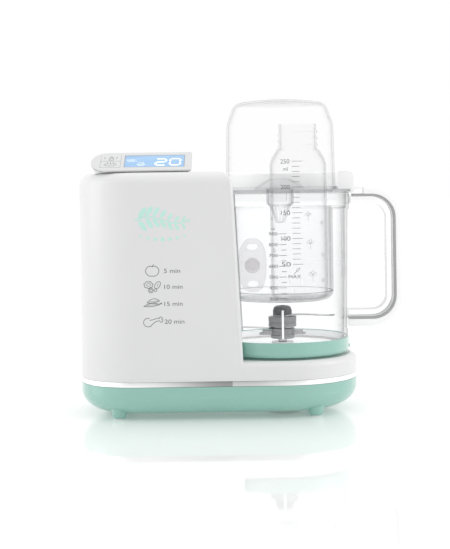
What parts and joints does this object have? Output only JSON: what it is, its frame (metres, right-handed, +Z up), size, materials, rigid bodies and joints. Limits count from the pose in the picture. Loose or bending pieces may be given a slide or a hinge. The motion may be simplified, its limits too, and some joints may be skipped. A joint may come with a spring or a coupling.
{
  "type": "baby food maker",
  "caption": "Countertop steam cooker and blender for baby food: tower with tilted display, clear jar with handle, blades, basket and domed steriliser lid on a rounded base.",
  "frame": {"origin": "middle of the footprint box, on the plane that the feet stand on", "axes": "+Z up, -Y towards the user who faces the display, +X from the tower towards the jar's handle"},
  "size_m": [0.307, 0.141, 0.2945],
  "materials": {
    "white": "satin white moulded plastic",
    "mint": "satin mint moulded plastic",
    "chrome": "bright plated strip",
    "clear": "clear moulded plastic",
    "bottle_clear": "clear bottle plastic with a printed scale",
    "panel_grey": "pale grey satin plastic",
    "screen": "backlit pale blue screen",
    "steel": "brushed stainless steel",
    "cast_aluminium": "cast and unpolished",
    "dark_plastic": "dark moulded plastic",
    "rubber_dark": "ribbed black rubber",
    "silicone": "translucent silicone",
    "board_green": "green circuit board"
  },
  "bodies": {
    "base": {"upper_housing": "white", "rear_cover": "white", "base_tray": "mint", "foot_1": "mint", "foot_2": "mint", "foot_3": "mint", "foot_4": "mint", "trim_band": "chrome", "water_tank": "clear", "display_housing": "panel_grey", "lcd_window": "screen", "rear_screw_1": "steel", "rear_screw_2": "steel", "rear_screw_3": "steel", "rear_screw_4": "steel", "hinge_pin": "steel", "spindle_bearing": "steel", "motor_body": "steel", "inner_frame": "steel", "boiler": "cast_aluminium", "base_vent": "dark_plastic", "cord_gland": "dark_plastic", "lcd_module": "dark_plastic", "steam_outlet": "dark_plastic", "drive_belt": "rubber_dark", "feed_tube": "silicone", "steam_tube": "silicone", "control_board": "board_green"},
    "motor_rotor": {"motor_shaft": "steel", "motor_pulley": "dark_plastic"},
    "drive_train": {"driven_pulley": "dark_plastic", "drive_spindle": "steel", "drive_socket": "dark_plastic"},
    "tank_lid": {"tank_lid": "white"},
    "key_upper": {"key_upper": "panel_grey"},
    "key_lower": {"key_lower": "panel_grey"},
    "blade_base": {"collar": "mint", "blade_bush": "steel", "jar_gasket": "silicone"},
    "cutter": {"blade_shaft": "steel", "hub_sleeve": "dark_plastic", "blade_lower": "steel", "blade_hub": "dark_plastic", "blade_upper": "steel", "hub_cap": "dark_plastic", "drive_dog": "dark_plastic"},
    "jar": {"jar": "clear", "handle_frame": "clear", "handle_cover": "white"},
    "basket": {"basket": "clear", "bottle": "bottle_clear", "soother_shield": "white", "soother_teat": "silicone"},
    "lid": {"lid_ring": "clear", "lid_gasket": "silicone", "steam_duct": "white", "steam_nozzle": "clear", "steam_hood": "clear"},
    "dome": {"dome": "clear"}
  },
  "joints": [
    {"name": "motor_spin", "type": "hinge", "parent": "base", "child": "motor_rotor", "pos_m": [-0.0705, 0, 0.03], "axis": [0, 0, 1], "continuous": true},
    {"name": "drive_spin", "type": "hinge", "parent": "base", "child": "drive_train", "pos_m": [0.0375, 0, 0.03], "axis": [0, 0, 1], "continuous": true},
    {"name": "tank_lid_hinge", "type": "hinge", "parent": "base", "child": "tank_lid", "pos_m": [-0.0805, 0.0538, 0.2245], "axis": [-1, 0, 0], "range_deg": [0, 95]},
    {"name": "key_upper_press", "type": "slide", "parent": "base", "child": "key_upper", "axis": [0, 0.5446, -0.8387], "range_m": [0, 0.0006], "stiffness_N_per_m": 300, "springref_m": -0.0005},
    {"name": "key_lower_press", "type": "slide", "parent": "base", "child": "key_lower", "axis": [0, 0.5446, -0.8387], "range_m": [0, 0.0006], "stiffness_N_per_m": 300, "springref_m": -0.0005},
    {"name": "jar_lift", "type": "slide", "parent": "base", "child": "blade_base", "axis": [0, 0, 1], "range_m": [0, 0.18]},
    {"name": "blade_spin", "type": "hinge", "parent": "blade_base", "child": "cutter", "pos_m": [0.0375, 0, 0.07], "axis": [0, 0, 1], "continuous": true},
    {"name": "jar_twist", "type": "hinge", "parent": "blade_base", "child": "jar", "pos_m": [0.0375, 0, 0.07], "axis": [0, 0, 1], "range_deg": [0, 30]},
    {"name": "basket_lift", "type": "slide", "parent": "jar", "child": "basket", "axis": [0, 0, 1], "range_m": [0, 0.115]},
    {"name": "lid_lift", "type": "slide", "parent": "basket", "child": "lid", "axis": [0, 0, 1], "range_m": [0, 0.09]},
    {"name": "dome_lift", "type": "slide", "parent": "lid", "child": "dome", "axis": [0, 0, 1], "range_m": [0, 0.09]}
  ],
  "couplings": [
    {"joint": "motor_spin", "follows": "drive_spin", "ratio": 3.5},
    {"joint": "blade_spin", "follows": "drive_spin", "ratio": 1}
  ]
}
